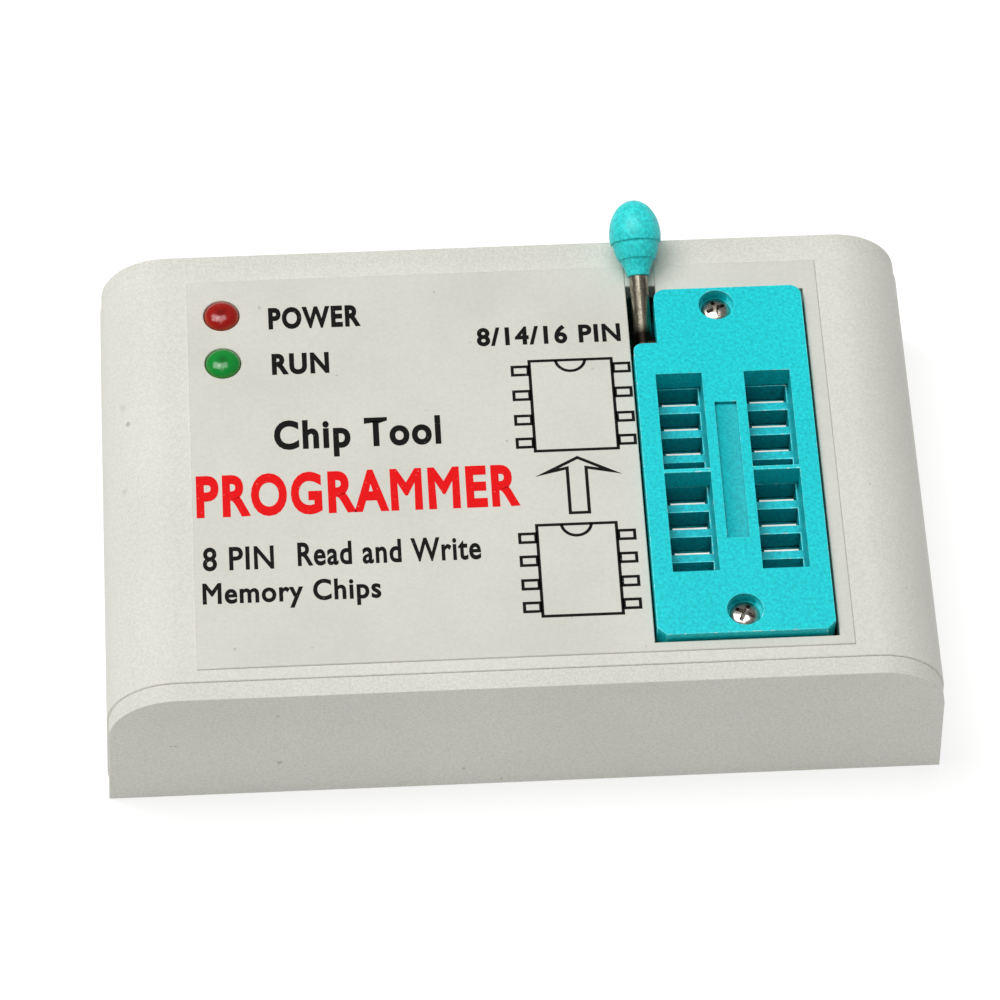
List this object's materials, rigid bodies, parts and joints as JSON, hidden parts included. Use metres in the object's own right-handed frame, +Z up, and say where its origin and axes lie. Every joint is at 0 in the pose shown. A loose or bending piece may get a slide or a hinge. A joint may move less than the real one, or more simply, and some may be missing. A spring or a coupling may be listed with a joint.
{
  "type": "usb chip programmer",
  "caption": "Flat desktop programmer for small memory chips: rounded pale case, printed top, teal lever-clamped socket, two status lamps, rear USB port.",
  "frame": {"origin": "centre of the case's underside, on the surface it rests on", "axes": "+X along the case towards the chip socket's side, +Y towards the rear panel with the USB port, +Z up"},
  "size_m": [0.0714, 0.0468, 0.0209],
  "materials": {
    "case_plastic": "fine spark-textured pale grey ABS",
    "label_film": "satin printed polyester film",
    "screw_steel": "nickel-plated steel",
    "board_laminate": "green solder mask over glass laminate",
    "chip_epoxy": "moulded epoxy",
    "tinned_metal": "tin-plated strip",
    "can_metal": "plain formed can",
    "black_plastic": "moulded insulator",
    "ceramic": "fired ceramic body with tinned ends",
    "gold_contact": "gold flash",
    "red_lens": "tinted diffused lens",
    "green_lens": "tinted diffused lens",
    "socket_plastic": "satin moulded thermoplastic",
    "rod_steel": "polished stainless steel",
    "knob_plastic": "satin moulded thermoplastic"
  },
  "bodies": {
    "root": {"upper_shell": "case_plastic", "base_plate": "case_plastic", "front_end_panel": "case_plastic", "rear_end_panel": "case_plastic", "printed_label": "label_film", "case_screws": "screw_steel", "circuit_board": "board_laminate", "microcontroller": "chip_epoxy", "microcontroller_legs": "tinned_metal", "buffer_chip": "chip_epoxy", "buffer_chip_legs": "tinned_metal", "voltage_regulator": "chip_epoxy", "regulator_legs": "tinned_metal", "crystal": "can_metal", "bulk_capacitor": "can_metal", "capacitor_sleeve_base": "black_plastic", "chip_capacitors": "ceramic", "chip_resistors": "chip_epoxy", "usb_shell": "can_metal", "usb_tongue": "black_plastic", "usb_contacts": "gold_contact", "red_lamp": "red_lens", "green_lamp": "green_lens", "lamp_leads": "tinned_metal", "socket_base": "socket_plastic", "socket_cover": "socket_plastic", "socket_contacts": "tinned_metal", "socket_cover_screws": "screw_steel"},
    "slider": {"socket_slider": "socket_plastic"},
    "lever": {"lever_rod": "rod_steel", "lever_knob": "knob_plastic"}
  },
  "joints": [
    {"name": "slider_shift", "type": "slide", "parent": "root", "child": "slider", "axis": [0, -1, 0], "range_m": [0, 0.0008947]},
    {"name": "lever_tilt", "type": "hinge", "parent": "root", "child": "lever", "pos_m": [0.01209, 0.0122, 0.01445], "axis": [1, 0, 0], "range_deg": [0, 68]}
  ],
  "couplings": [
    {"joint": "lever_tilt", "follows": "slider_shift", "rad_per_m": 1326.5}
  ]
}
